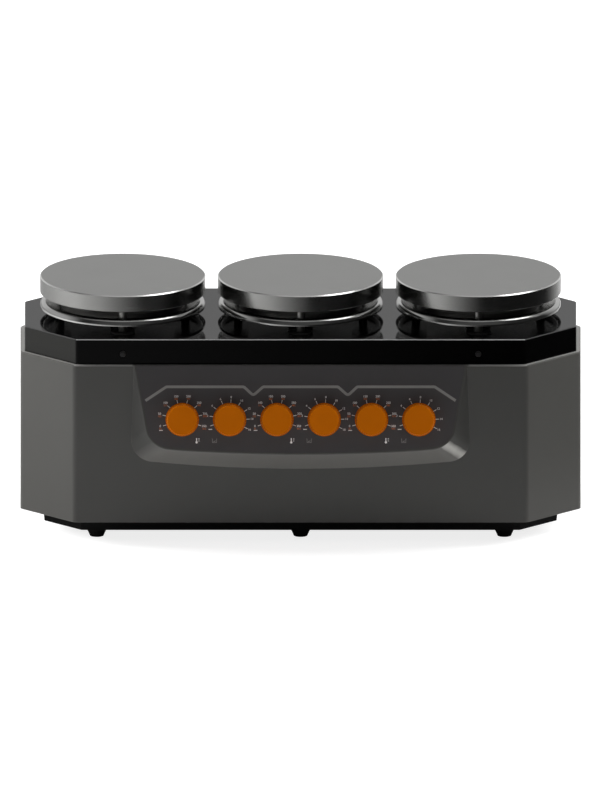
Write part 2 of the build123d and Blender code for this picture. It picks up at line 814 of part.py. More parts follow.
def power_board():
    """Circuit board on the tray's posts, with transformer, heat sink, capacitors and relays."""
    face_z = power_board_z + board_thickness
    board = component(0, 0, (power_board_width, power_board_depth, board_thickness), power_board_z)
    for x, y in power_board_points():
        board -= rod(board_screw_radius + hole_gap, power_board_z, face_z, x, y)
    board += component(transformer_x, 0, transformer_size, face_z)
    sink_width, sink_depth, sink_height = heat_sink_size
    board += component(heat_sink_x, 0, (sink_width, sink_depth, heat_sink_base), face_z)
    fin_pitch = (sink_width - heat_sink_fin_width) / (heat_sink_fins - 1)
    for index in range(heat_sink_fins):
        fin_x = heat_sink_x + (index - (heat_sink_fins - 1) / 2) * fin_pitch
        board += component(fin_x, 0, (heat_sink_fin_width, sink_depth, sink_height), face_z)
    for x, y in capacitor_places:
        board += rod(capacitor_radius, face_z, face_z + capacitor_height, x, y)
    for index in (-1, 0, 1):
        board += component(relay_x, index * relay_pitch, relay_size, face_z)
    return board


def board_screws():
    """Screws down through the power board into the tray's posts."""
    face_z = power_board_z + board_thickness
    screw = rod(board_screw_head_radius, face_z, face_z + board_screw_head_height)
    screw += rod(board_screw_radius, face_z - board_thickness - board_screw_grip, face_z)
    return [Pos(x, y, 0) * screw for x, y in power_board_points()]


def power_inlet():
    """Three-pin mains inlet that snaps into the back wall."""
    z = back_fittings_z
    body = back_block(inlet_x, z, inlet_flange_width, inlet_flange_height, back_y, back_y + inlet_flange)
    body = fillet(body.edges().filter_by(Axis.Y), inlet_flange)
    body += back_block(inlet_x, z, inlet_body_width, inlet_body_height, back_y - inlet_body_depth, back_y)
    mouth_bottom_y = back_y + inlet_flange - inlet_mouth_depth
    mouth = back_block(inlet_x, z, inlet_mouth_width, inlet_mouth_height, mouth_bottom_y,
                       back_y + inlet_flange)
    top_corners = mouth.edges().filter_by(Axis.Y).group_by(Axis.Z)[-1]
    body -= chamfer(top_corners, inlet_mouth_corner)
    for x, pin_z in pin_points():
        body -= back_block(x, pin_z, pin_width, pin_height, back_y - inlet_body_depth, mouth_bottom_y)
    return body


def pin_points():
    """Centres of the inlet's pins: two in a row and the earth pin between, a little higher."""
    z = back_fittings_z
    row_z = z - earth_pin_rise
    return [(inlet_x - pin_spacing, row_z), (inlet_x, z + earth_pin_rise),
            (inlet_x + pin_spacing, row_z)]


def inlet_pins():
    """Three flat pins of the inlet, with solder tails inside the housing."""
    floor_y = back_y + inlet_flange - inlet_mouth_depth
    tail_y = back_y - inlet_body_depth - pin_tail
    return [back_block(x, z, pin_width, pin_height, tail_y, floor_y + pin_length) for x, z in pin_points()]


def switch_bezel():
    """Frame of the power switch, with the bearings of its rocker."""
    z = back_fittings_z
    x = switch_x
    body = back_block(x, z, switch_flange_width, switch_flange_height, back_y, back_y + switch_flange)
    body = fillet(body.edges().filter_by(Axis.Y), switch_flange)
    body += back_block(x, z, switch_body_width, switch_body_height, back_y - switch_body_depth, back_y)
    body -= back_block(x, z, switch_mouth_width, switch_mouth_height,
                       back_y + switch_flange - switch_mouth_depth, back_y + switch_flange)
    bearing = Pos(x, rocker_y, z) * Rot(0, 90, 0) * Cylinder(rocker_pin_radius + running_gap,
                                                            rocker_width + 2 * (rocker_pin_bite + slip_gap))
    return body - bearing


def switch_rocker():
    """Rocker with a dished face, tilted to its off position, with a pin on each side."""
    out = rocker_rise
    side_view = [(out, -rocker_half_length), (rocker_dip, 0), (out, rocker_half_length),
                 (0, rocker_half_length), (-rocker_depth, rocker_foot), (-rocker_depth, -rocker_foot),
                 (0, -rocker_half_length)]
    body = extrude(Plane.YZ * make_face(Polyline(*side_view, close=True)), rocker_width / 2, both=True)
    body += Rot(0, 90, 0) * Cylinder(rocker_pin_radius, rocker_width + 2 * rocker_pin_bite)
    return Pos(switch_x, rocker_y, back_fittings_z) * Rot(-rocker_tilt, 0, 0) * body


def all_pieces():
    """Every piece by its name: one solid, or a list of like solids."""
    pieces = {
        "housing_shell": housing_shell(),
        "base_tray": base_tray(),
        "rubber_feet": rubber_feet(),
        "foot_screws": foot_screws(),
        "base_screws": base_screws(),
        "top_cover": top_cover(),
        "cover_screws": cover_screws(),
        "post_washers": post_washers(),
        "lower_standoffs": lower_standoffs(),
        "upper_standoffs": upper_standoffs(),
        "plate_screws": plate_screws(),
        "temperature_sensors": temperature_sensors(),
        "cable_grommets": cable_grommets(),
        "motor_screws": motor_screws(),
        "control_label": control_label(),
        "potentiometers": potentiometers(),
        "bushing_nuts": bushing_nuts(),
        "control_board": control_board(),
        "power_board": power_board(),
        "board_screws": board_screws(),
        "power_inlet": power_inlet(),
        "inlet_pins": inlet_pins(),
        "switch_bezel": switch_bezel(),
        "switch_rocker": switch_rocker(),
    }
    for station in station_sides:
        pieces[f"hot_plate_{station}"] = hot_plate(station)
        pieces[f"heating_element_{station}"] = heating_element(station)
        pieces[f"heater_pan_{station}"] = heater_pan(station)
        pieces[f"heat_shield_{station}"] = heat_shield(station)
        pieces[f"stir_motor_{station}"] = stir_motor(station)
        pieces[f"motor_shaft_{station}"] = motor_shaft(station)
        pieces[f"magnet_rotor_{station}"] = magnet_rotor(station)
        pieces[f"rotor_magnets_{station}"] = rotor_magnets(station)
    ridged_knob = knob()
    shaft = control_shaft()
    for name, x in knob_places():
        kind, station = name.split("_")
        pieces[f"{kind}_knob_{station}"] = on_panel(x) * ridged_knob
        pieces[f"{kind}_shaft_{station}"] = on_panel(x) * shaft
    return pieces


def as_solids(piece):
    """The separate solids of one piece, or of a list of like pieces."""
    parts = piece if isinstance(piece, list) else [piece]
    return [solid for part in parts for solid in part.solids()]


def main():
    solids = {name: as_solids(piece) for name, piece in all_pieces().items()}
    boxes = [solid.bounding_box() for group in solids.values() for solid in group]
    middle_y = (min(box.min.Y for box in boxes) + max(box.max.Y for box in boxes)) / 2
    os.makedirs("parts", exist_ok=True)
    for name, group in solids.items():
        placed = [Pos(0, -middle_y, 0) * solid for solid in group]
        shape = placed[0] if len(placed) == 1 else Compound(children=placed)
        export_step(shape, f"parts/{name}.step")
    print(f"{len(solids)} pieces, moved {-middle_y:.4f} mm along Y")


main()
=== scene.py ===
"""Looks of a three-station magnetic stirrer with hot plates, put together as the instrument is."""

import json
import math

import bmesh
import bpy
from mathutils import Matrix, Vector


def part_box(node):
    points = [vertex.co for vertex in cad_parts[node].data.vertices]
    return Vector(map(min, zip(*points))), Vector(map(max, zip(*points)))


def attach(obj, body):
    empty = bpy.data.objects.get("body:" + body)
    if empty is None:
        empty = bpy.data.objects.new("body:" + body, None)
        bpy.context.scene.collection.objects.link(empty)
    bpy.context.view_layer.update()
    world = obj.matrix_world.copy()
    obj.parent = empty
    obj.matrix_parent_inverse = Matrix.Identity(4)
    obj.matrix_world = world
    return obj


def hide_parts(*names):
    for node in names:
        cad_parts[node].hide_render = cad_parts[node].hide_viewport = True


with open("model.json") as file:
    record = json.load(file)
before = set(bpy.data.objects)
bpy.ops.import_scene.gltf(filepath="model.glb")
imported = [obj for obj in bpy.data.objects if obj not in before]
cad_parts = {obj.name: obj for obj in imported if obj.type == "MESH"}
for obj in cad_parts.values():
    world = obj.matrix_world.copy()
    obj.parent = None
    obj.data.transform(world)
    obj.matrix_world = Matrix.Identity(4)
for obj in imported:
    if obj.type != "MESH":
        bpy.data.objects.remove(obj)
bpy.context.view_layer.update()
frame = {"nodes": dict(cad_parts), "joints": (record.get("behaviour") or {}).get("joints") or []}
nodes = frame["nodes"]
stations = ("left", "centre", "right")

# Housing: one light-metal casting with a dark grey satin coat, which carries everything else.
# The coat has a fine sprayed grain, and its edges are painted lighter, partly as wear and partly as a
# painted edge highlight.

def new_material(name):
    """A material, its nodes, its links and its Principled node."""
    material = bpy.data.materials.new(name)
    material.use_nodes = True
    tree = material.node_tree
    return material, tree.nodes, tree.links, tree.nodes["Principled BSDF"]

def new_group(name, inputs, outputs):
    """A shader node group with (name, kind, value) inputs and (name, kind) outputs."""
    tree = bpy.data.node_groups.new(name, "ShaderNodeTree")
    for label, kind, value in inputs:
        tree.interface.new_socket(label, in_out="INPUT", socket_type=kind).default_value = value
    for label, kind in outputs:
        tree.interface.new_socket(label, in_out="OUTPUT", socket_type=kind)
    return tree, tree.nodes.new("NodeGroupInput"), tree.nodes.new("NodeGroupOutput")

def noise(tree, scale, detail, vector):
    """A noise texture read at a vector socket."""
    node = tree.nodes.new("ShaderNodeTexNoise")
    node.inputs["Scale"].default_value = scale
    node.inputs["Detail"].default_value = detail
    tree.links.new(vector, node.inputs["Vector"])
    return node.outputs["Fac"]

def remap(tree, value, low, high, out_low, out_high):
    """A value, moved from one range to another and held inside it."""
    node = tree.nodes.new("ShaderNodeMapRange")
    labels = ("From Min", "From Max", "To Min", "To Max")
    for label, number in zip(labels, (low, high, out_low, out_high)):
        if hasattr(number, "node"):
            tree.links.new(number, node.inputs[label])
        else:
            node.inputs[label].default_value = number
    tree.links.new(value, node.inputs["Value"])
    return node.outputs["Result"]

def math_node(tree, operation, first, second):
    """One arithmetic step between sockets or numbers."""
    node = tree.nodes.new("ShaderNodeMath")
    node.operation = operation
    for index, value in enumerate((first, second)):
        if hasattr(value, "node"):
            tree.links.new(value, node.inputs[index])
        else:
            node.inputs[index].default_value = value
    return node.outputs[0]

def towards(tree, vector, way):
    """How far a vector socket points one way: 1 is straight along it."""
    dot = tree.nodes.new("ShaderNodeVectorMath")
    dot.operation = "DOT_PRODUCT"
    tree.links.new(vector, dot.inputs[0])
    dot.inputs[1].default_value = way
    return dot.outputs["Value"]

def parts_of(tree, vector):
    """The X, Y and Z sockets of a vector socket."""
    node = tree.nodes.new("ShaderNodeSeparateXYZ")
    tree.links.new(vector, node.inputs[0])
    return node.outputs

def size_of(tree, socket):
    """A socket without its sign."""
    return math_node(tree, "ABSOLUTE", socket, 0.0)

def product(tree, first, second):
    """Two masks or values multiplied."""
    return math_node(tree, "MULTIPLY", first, second)

def centred(tree, value):
    """A noise value, which lies between 0 and 1, moved so that it swings about 0."""
    return math_node(tree, "SUBTRACT", value, 0.5)

def scaled_colour(tree, colour, factor):
    """A colour times a factor socket."""
    node = tree.nodes.new("ShaderNodeVectorMath")
    node.operation = "SCALE"
    tree.links.new(colour, node.inputs[0])
    tree.links.new(factor, node.inputs["Scale"])
    return node.outputs[0]

surface_outputs = [("Colour", "NodeSocketColor"), ("Roughness", "NodeSocketFloat"),
                   ("Height", "NodeSocketFloat")]

def sprayed_grain_group():
    """Colour, roughness and height of a sprayed or moulded skin, with soft marks of handling."""
    tree, given, made = new_group("sprayed_grain", [
        ("Colour", "NodeSocketColor", (0.1, 0.1, 0.1, 1.0)), ("Roughness", "NodeSocketFloat", 0.5),
        ("Grain Scale", "NodeSocketFloat", 2500.0), ("Mottle", "NodeSocketFloat", 0.06),
        ("Smudge", "NodeSocketFloat", 0.06)],
        surface_outputs)
    place = tree.nodes.new("ShaderNodeTexCoord").outputs["Object"]
    grain_node = tree.nodes.new("ShaderNodeTexNoise")
    tree.links.new(given.outputs["Grain Scale"], grain_node.inputs["Scale"])
    tree.links.new(place, grain_node.inputs["Vector"])
    grain = grain_node.outputs["Fac"]
    cloud_scale, wipe_scale = 14.0, 55.0
    cloud = noise(tree, cloud_scale, 3.0, place)
    wipe = noise(tree, wipe_scale, 5.0, place)
    shift = product(tree, centred(tree, cloud), given.outputs["Mottle"])
    speck = product(tree, centred(tree, grain), given.outputs["Mottle"])
    factor = math_node(tree, "ADD", math_node(tree, "ADD", shift, speck), 1.0)
    tree.links.new(scaled_colour(tree, given.outputs["Colour"], factor), made.inputs["Colour"])
    smear = product(tree, centred(tree, wipe), given.outputs["Smudge"])
    rough = math_node(tree, "ADD", given.outputs["Roughness"], product(tree, smear, 2.0))
    tree.links.new(rough, made.inputs["Roughness"])
    tree.links.new(grain, made.inputs["Height"])
    return tree

def edge_wear_group():
    """A mask that is 1 on sharp outer edges and 0 on flat faces; it marks edges painted lighter, partly
    as wear and partly as a painted edge highlight.
    """
    tree, given, made = new_group("edge_wear_and_highlight", [
        ("Radius", "NodeSocketFloat", 0.001), ("Amount", "NodeSocketFloat", 1.0)],
        [("Mask", "NodeSocketFloat")])
    bent_at, patch_scale, patch_low, patch_high, thinnest = 0.86, 90.0, 0.35, 0.65, 0.35
    bevel = tree.nodes.new("ShaderNodeBevel")
    bevel.samples = 4
    tree.links.new(given.outputs["Radius"], bevel.inputs["Radius"])
    surface = tree.nodes.new("ShaderNodeNewGeometry")
    dot = tree.nodes.new("ShaderNodeVectorMath")
    dot.operation = "DOT_PRODUCT"
    tree.links.new(bevel.outputs["Normal"], dot.inputs[0])
    tree.links.new(surface.outputs["Normal"], dot.inputs[1])
    bent = remap(tree, dot.outputs["Value"], 1.0, bent_at, 0.0, 1.0)
    patches = noise(tree, patch_scale, 4.0, surface.outputs["Position"])
    patchy = remap(tree, patches, patch_low, patch_high, thinnest, 1.0)
    lighter_edges = product(tree, product(tree, bent, patchy), given.outputs["Amount"])
    tree.links.new(lighter_edges, made.inputs["Mask"])
    return tree

sprayed_grain = sprayed_grain_group()
edge_wear_and_highlight = edge_wear_group()

def use_group(material_nodes, tree, values):
    """A node group placed in a material, with its values."""
    node = material_nodes.new("ShaderNodeGroup")
    node.node_tree = tree
    for label, value in values.items():
        node.inputs[label].default_value = value
    return node

def mixed(nodes_in, links, mask, first, second):
    """Colour that goes from a socket to a plain colour where the mask is 1."""
    mix = nodes_in.new("ShaderNodeMix")
    mix.data_type = "RGBA"
    links.new(mask, mix.inputs["Factor"])
    links.new(first, mix.inputs["A"])
    mix.inputs["B"].default_value = (*second, 1.0)
    return mix.outputs["Result"]

def bumped(nodes_in, links, height, strength, distance):
    """A normal from a height socket."""
    bump = nodes_in.new("ShaderNodeBump")
    bump.inputs["Strength"].default_value = strength
    bump.inputs["Distance"].default_value = distance
    links.new(height, bump.inputs["Height"])
    return bump.outputs["Normal"]

def layered(material, shader, layers):
    """Lays colours over a material's own colour where their masks are 1."""
    tree = material.node_tree
    shown = shader.inputs["Base Color"].links[0].from_socket
    for mask, colour in layers:
        shown = mixed(tree.nodes, tree.links, mask, shown, colour)
    tree.links.new(shown, shader.inputs["Base Color"])

def skin(name, colour, roughness, grain_scale, mottle, smudge, bump_strength, bump_distance, lighter_edges=None):
    """Coated or moulded skin with grain and handling marks; the last argument is the colour, the radius
    and the amount of edges painted lighter, partly as wear and partly as a painted edge highlight."""
    material, inside, links, principled = new_material(name)
    grain = use_group(inside, sprayed_grain, {
        "Colour": (*colour, 1.0), "Roughness": roughness, "Grain Scale": grain_scale,
        "Mottle": mottle, "Smudge": smudge})
    shown = grain.outputs["Colour"]
    if lighter_edges:
        lighter_edge_colour, radius, amount = lighter_edges
        edge_wear_and_highlight_node = use_group(inside, edge_wear_and_highlight, {"Radius": radius, "Amount": amount})
        shown = mixed(inside, links, edge_wear_and_highlight_node.outputs["Mask"], shown, lighter_edge_colour)
    links.new(shown, principled.inputs["Base Color"])
    links.new(grain.outputs["Roughness"], principled.inputs["Roughness"])
    normal = bumped(inside, links, grain.outputs["Height"], bump_strength, bump_distance)
    links.new(normal, principled.inputs["Normal"])
    return material, principled

def dress(names, material):
    """Gives CAD nodes their finish."""
    for name in names:
        nodes[name].data.materials.clear()
        nodes[name].data.materials.append(material)

housing_paint, housing_shader = skin(
    "housing_paint", (0.050, 0.049, 0.0455), roughness=0.46, grain_scale=2600.0, mottle=0.10,
    smudge=0.05, bump_strength=0.35, bump_distance=0.00006, lighter_edges=((0.17, 0.168, 0.16), 0.0009, 0.55))
console_half_width = 0.137
console_corner, corner_glint_spread = (0.5, -0.707, -0.5), (0.975, 0.99)
facing_down, facing_up, facing_sideways = (-0.3, -0.6), (0.35, 0.6), 0.35
# Colours of the painted bounce light under the console, the painted highlight along the ledge and the
# painted glint on the console's lower right corner.
under_painted_bounce_grey, ledge_painted_highlight_grey, corner_painted_glint_grey = (0.135, 0.132, 0.124), (0.20, 0.198, 0.19), (0.42, 0.415, 0.39)

def housing_lights():
    """Painted light on the coat: painted bounce light on the console's downward bevel, a painted
    highlight line along the ledge beside it and a painted glint on its lower right corner.
    """
    tree = housing_paint.node_tree
    normal = tree.nodes.new("ShaderNodeNewGeometry").outputs["Normal"]
    facing = parts_of(tree, normal)
    place = parts_of(tree, tree.nodes.new("ShaderNodeTexCoord").outputs["Object"])
    painted_bounce_mask = remap(tree, facing["Z"], *facing_down, 0.0, 1.0)
    beside = math_node(tree, "GREATER_THAN", size_of(tree, place["X"]), console_half_width)
    forward = math_node(tree, "LESS_THAN", size_of(tree, facing["X"]), facing_sideways)
    upward = remap(tree, facing["Z"], *facing_up, 0.0, 1.0)
    painted_ledge_highlight_mask = product(tree, upward, product(tree, beside, forward))
    # The painted glint on the console's lower right corner.
    corner = remap(tree, towards(tree, normal, console_corner), *corner_glint_spread, 0.0, 1.0)
    return (painted_bounce_mask, under_painted_bounce_grey), (painted_ledge_highlight_mask, ledge_painted_highlight_grey), (corner, corner_painted_glint_grey)

layered(housing_paint, housing_shader, housing_lights())
dress(["housing_shell"], housing_paint)

# Base tray: a black pressed tub under the housing, with vent slots in its floor, on six rubber
# feet. Black screws go up through its flange, and bright ones hold the feet.

tray_black, tray_shader = skin(
    "tray_black", (0.0025, 0.0025, 0.0025), roughness=0.7, grain_scale=3000.0, mottle=0.12,
    smudge=0.08, bump_strength=0.3, bump_distance=0.00005)
foot_rubber, foot_shader = skin(
    "foot_rubber", (0.004, 0.004, 0.004), roughness=0.8, grain_scale=1800.0, mottle=0.25, smudge=0.10,
    bump_strength=0.5, bump_distance=0.00010)
screw_black, screw_black_shader = skin(
    "screw_black", (0.02, 0.02, 0.02), roughness=0.34, grain_scale=4000.0, mottle=0.2, smudge=0.1,
    bump_strength=0.2, bump_distance=0.00003, lighter_edges=((0.16, 0.16, 0.155), 0.0003, 0.6))
screw_black_shader.inputs["Metallic"].default_value = 0.6
dull = 0.15
for shader in (tray_shader, foot_shader):
    shader.inputs["Specular IOR Level"].default_value = dull
dress(["base_tray"], tray_black)
dress(["rubber_feet"], foot_rubber)
dress(["base_screws", "cover_screws"], screw_black)

# Label: a satin plastic film on the console, with a grey guide line, tick marks, plain numbers
# and two small signs for heat and stirring printed on it.

label_film, _ = skin(
    "label_film", (0.046, 0.043, 0.045), roughness=0.5, grain_scale=3500.0, mottle=0.08, smudge=0.05,
    bump_strength=0.15, bump_distance=0.00003)
dress(["control_label"], label_film)

joints = {joint["name"]: joint for joint in frame["joints"]}
MM = 0.001
print_thickness = 0.05 * MM
label_thickness = 0.4 * MM

def panel_places():
    """Each control's centre on the panel, and the panel's own directions."""
    places = {}
    for kind in ("heat", "speed"):
        for station in stations:
            joint = joints[f"{kind}_knob_{station}_turn"]
            places[f"{kind}_{station}"] = Vector(joint["pos_m"])
    out = -Vector(joints["heat_knob_left_turn"]["axis"]).normalized()
    right = Vector((1, 0, 0))
    return places, right, out.cross(right), out

knob_centres, panel_right, panel_up, panel_out = panel_places()
panel_turn = Matrix((panel_right, panel_up, panel_out)).transposed().to_4x4()

def panel_place(centre, right, up, out=label_thickness):
    """A point of the panel, right and up from a control's centre and out from the metal."""
    return centre + panel_right * right + panel_up * up + panel_out * out

def flat_print(mesh, outline, centre):
    """Adds a thin printed shape with this outline, in millimetres from a control's centre."""
    rings = []
    for out in (label_thickness - print_thickness, label_thickness + print_thickness):
        rings.append([mesh.verts.new(panel_place(centre, x * MM, y * MM, out)) for x, y in outline])
    low, high = rings
    mesh.faces.new(high)
    mesh.faces.new(list(reversed(low)))
    for index in range(len(outline)):
        after = (index + 1) % len(outline)
        mesh.faces.new((low[index], low[after], high[after], high[index]))

def line_print(mesh, points, width, centre):
    """Adds a printed line of some width through points, with mitred corners."""
    sharpest, sides = 0.5, ([], [])
    for index, (x, y) in enumerate(points):
        here = Vector((x, y))
        before = (here - Vector(points[index - 1])).normalized() if index else None
        after = (Vector(points[index + 1]) - here).normalized() if index + 1 < len(points) else before
        before = before or after
        along = (before + after).normalized()
        across = Vector((-along.y, along.x))
        reach = width / 2 / max(sharpest, across.dot(Vector((-before.y, before.x))))
        sides[0].append(tuple(here + across * reach))
        sides[1].append(tuple(here - across * reach))
    for index in range(len(points) - 1):
        corners = [sides[1][index], sides[1][index + 1], sides[0][index + 1], sides[0][index]]
        flat_print(mesh, corners, centre)

def text_print(mesh, words, size, right, up, centre):
    """Adds a short number, centred on a place of the panel."""
    curve = bpy.data.curves.new("number", "FONT")
    curve.body = words
    curve.size = size * MM
    curve.align_x = "CENTER"
    curve.align_y = "CENTER"
    curve.extrude = print_thickness
    curve.resolution_u = 3
    holder = bpy.data.objects.new("number", curve)
    bpy.context.scene.collection.objects.link(holder)
    bpy.context.view_layer.update()
    flat = bpy.data.meshes.new_from_object(holder.evaluated_get(bpy.context.evaluated_depsgraph_get()))
    place = Matrix.Translation(panel_place(centre, right * MM, up * MM)) @ panel_turn
    flat.transform(place)
    mesh.from_mesh(flat)
    bpy.data.meshes.remove(flat)
    bpy.data.objects.remove(holder)
    bpy.data.curves.remove(curve)

def finished(mesh, name, material, body, smooth=False):
    """Turns a bmesh into a piece that rides on a body and has the looks of a slot."""
    data = bpy.data.meshes.new(name)
    mesh.to_mesh(data)
    mesh.free()
    data.materials.append(material)
    for face in data.polygons:
        face.use_smooth = smooth
    piece = bpy.data.objects.new(name, data)
    bpy.context.scene.collection.objects.link(piece)
    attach(piece, body)
    return piece

def on_dial(angle, radius):
    """A place round a dial: 0 degrees at the top, clockwise."""
    turn = math.radians(angle)
    return radius * math.sin(turn), radius * math.cos(turn)

def rounded(points, radius):
    """The points of a line with its inner corners rounded."""
    steps, most = 5, 0.45
    made = [points[0]]
    for before, corner, after in zip(points, points[1:], points[2:]):
        here = Vector(corner)
        back, ahead = Vector(before) - here, Vector(after) - here
        turn = back.angle(ahead)
        reach = min(radius / math.tan(turn / 2), most * back.length, most * ahead.length)
        start, end = here + back.normalized() * reach, here + ahead.normalized() * reach
        for step in range(steps + 1):
            t = step / steps
            made.append(tuple(start * (1 - t) ** 2 + here * 2 * t * (1 - t) + end * t ** 2))
    return made + [points[-1]]

def ink(name, colour, roughness, mottle):
    """Thin screen-printed ink."""
    material, _ = skin(name, colour, roughness=roughness, grain_scale=5000.0, mottle=mottle,
                       smudge=0.05, bump_strength=0.1, bump_distance=0.00002)
    return material

print_white = ink("print_white", (0.85, 0.84, 0.82), roughness=0.5, mottle=0.1)
print_orange = ink("print_orange", (0.62, 0.17, 0.04), roughness=0.5, mottle=0.1)
print_grey = ink("print_grey", (0.20, 0.198, 0.19), roughness=0.45, mottle=0.08)

# Sizes of the prints, in millimetres and degrees.
tick_inner, tick_outer, tick_width = 13.7, 16.4, 0.42
heat_number_radius, heat_number_lift, speed_number_radius = 18.9, 0.6, 18.2
white_size, orange_size, orange_drop = 2.5, 2.0, 2.1
scale_start, heat_step, speed_step = -108.5, 31.0, 28.2
heat_numbers = [50 * step for step in range(8)]
speed_numbers = [2 * step for step in range(9)]
off_angle, off_half_length, off_width = -117.0, 1.5, 0.504
heat_off_radius, speed_off_radius = 19.5, 17.6
white_marks, orange_marks, grey_marks = bmesh.new(), bmesh.new(), bmesh.new()

def scale_tick(angle, centre):
    """One tick mark of a dial."""
    ends = [on_dial(angle, tick_inner), on_dial(angle, tick_outer)]
    line_print(white_marks, ends, tick_width, centre)

def off_mark(radius, centre):
    """The short line that marks a dial's rest position."""
    right, up = on_dial(off_angle, radius)
    ends = [(right - off_half_length, up), (right + off_half_length, up)]
    line_print(white_marks, ends, off_width, centre)

def heat_scale(centre):
    """Degrees Celsius in white and degrees Fahrenheit in orange round a heat knob."""
    for index, celsius in enumerate(heat_numbers):
        angle = scale_start + heat_step * index
        scale_tick(angle, centre)
        right, up = on_dial(angle, heat_number_radius)
        up += heat_number_lift
        text_print(white_marks, str(celsius), white_size, right, up, centre)
        fahrenheit = celsius * 9 // 5 + 32
        text_print(orange_marks, str(fahrenheit), orange_size, right, up - orange_drop, centre)

def speed_scale(centre):
    """Plain numbers round a speed knob, with a bare first tick."""
    for index, number in enumerate(speed_numbers):
        angle = scale_start + speed_step * index
        scale_tick(angle, centre)
        if index:
            right, up = on_dial(angle, speed_number_radius)
            text_print(white_marks, str(number), white_size, right, up, centre)

def heat_sign(centre):
    """A thermometer, with a stem, a bulb and three short lines beside it."""
    sign_x, stem_y, bulb_y, bulb_radius, bulb_step = 11.7, -18.4, -18.6, 0.95, 30
    stem_half, stem_low, stem_high = 0.35, 0.2, 3.2
    line_left, line_right, line_width, line_heights = 13.1, 14.2, 0.3, (-17.6, -16.6, -15.6)
    stem = [(-stem_half, stem_low), (stem_half, stem_low), (stem_half, stem_high),
            (-stem_half, stem_high)]
    bulb = [on_dial(angle, bulb_radius) for angle in range(360, 0, -bulb_step)]
    flat_print(white_marks, [(x + sign_x, y + stem_y) for x, y in stem], centre)
    flat_print(white_marks, [(x + sign_x, y + bulb_y) for x, y in bulb], centre)
    for height in line_heights:
        line_print(white_marks, [(line_left, height), (line_right, height)], line_width, centre)

def stirring_sign(centre):
    """A beaker with a bar in it."""
    sign_x, sign_y, beaker_width, bar_width = -12.3, -17.2, 0.4, 0.6
    beaker = [(-2.1, 1.6), (-1.7, 1.2), (-1.7, -1.6), (1.7, -1.6), (1.7, 1.2), (2.1, 1.6)]
    bar = [(-13.2, -18.0), (-11.4, -17.4)]
    line_print(grey_marks, [(x + sign_x, y + sign_y) for x, y in beaker], beaker_width, centre)
    line_print(grey_marks, bar, bar_width, centre)

def guide_line():
    """The grey line over the dials, with a notch between each two stations and falling ends."""
    middle = (knob_centres["heat_centre"] + knob_centres["speed_centre"]) / 2
    pitch = (knob_centres["speed_centre"] - knob_centres["heat_centre"]).length / MM
    line_rise, line_notch, line_end = 26.7, 19.6, 15.4
    notch_before, notch_after, bend_x, end_x = 8.0, 7.6, 109.5, 126.5
    line_width, corner_radius = 2.2, 2.6
    half = [(pitch - notch_before, line_rise), (pitch, line_notch), (pitch + notch_after, line_rise),
            (bend_x, line_rise), (end_x, line_end)]
    guide = [(-x, y) for x, y in reversed(half)] + half
    line_print(grey_marks, rounded(guide, corner_radius), line_width, middle)

for station in stations:
    heat, speed = knob_centres[f"heat_{station}"], knob_centres[f"speed_{station}"]
    heat_scale(heat)
    speed_scale(speed)
    off_mark(heat_off_radius, heat)
    off_mark(speed_off_radius, speed)
    heat_sign(heat)
    stirring_sign(speed)
guide_line()

finished(white_marks, "white_scale_print", print_white, "base")
finished(orange_marks, "orange_scale_print", print_orange, "base")
finished(grey_marks, "grey_guide_print", print_grey, "base")

# Knobs: moulded in orange plastic, ridged round the side with a smooth face, pushed onto the
# flatted shafts of the six controls behind the panel.

knob_orange, knob_shader = skin(
    "knob_orange", (0.49, 0.119, 0.0002), roughness=0.5, grain_scale=2200.0, mottle=0.10, smudge=0.08,
    bump_strength=0.25, bump_distance=0.00005)
knob_shader.inputs["Specular IOR Level"].default_value = 0.05
control_metal, control_shader = skin(
    "control_metal", (0.5, 0.49, 0.46), roughness=0.32, grain_scale=2000.0, mottle=0.1, smudge=0.1,
    bump_strength=0.1, bump_distance=0.00003)
control_shader.inputs["Metallic"].default_value = 1.0
for kind in ("heat", "speed"):
    dress([f"{kind}_knob_{station}" for station in stations], knob_orange)
    dress([f"{kind}_shaft_{station}" for station in stations], control_metal)
dress(["potentiometers", "bushing_nuts"], control_metal)

# Top cover: a high-gloss black shell over the motors' deck, held by small domed black screws.
# It mirrors whatever stands on it, and rubber grommets close its holes for the leads.

# The cover's lighter edge colour is a painted edge highlight.
glossy_black, cover_shader = skin(
    "glossy_black", (0.0008, 0.0008, 0.00085), roughness=0.03, grain_scale=900.0, mottle=0.1,
    smudge=0.012, bump_strength=0.02, bump_distance=0.00001, lighter_edges=((0.07, 0.07, 0.07), 0.0005, 0.8))
cover_shader.inputs["IOR"].default_value = 1.22
# Colours of the painted haze on the left chamfer and the painted highlight along the front edge.
left_painted_haze_black, rim_painted_highlight_grey = (0.014, 0.014, 0.013), (0.42, 0.42, 0.42)
facing_left, past_upright, near_level = (-0.5, -0.65), (0.15, 0.35), (0.9, 0.97)
turned_aside, rim_at_sides = (0.2, 0.4), 0.1

def cover_lights():
    """Painted lamp haze on the left chamfer, and a painted highlight line along the front's rounded
    edge.
    """
    tree = glossy_black.node_tree
    facing = parts_of(tree, tree.nodes.new("ShaderNodeNewGeometry").outputs["Normal"])
    left = remap(tree, facing["X"], *facing_left, 0.0, 1.0)
    leaning = product(tree, remap(tree, facing["Z"], *past_upright, 0.0, 1.0),
                      remap(tree, facing["Z"], *near_level, 1.0, 0.0))
    forward = remap(tree, size_of(tree, facing["X"]), *turned_aside, 1.0, rim_at_sides)
    rim = product(tree, leaning, forward)
    return (left, left_painted_haze_black), (rim, rim_painted_highlight_grey)

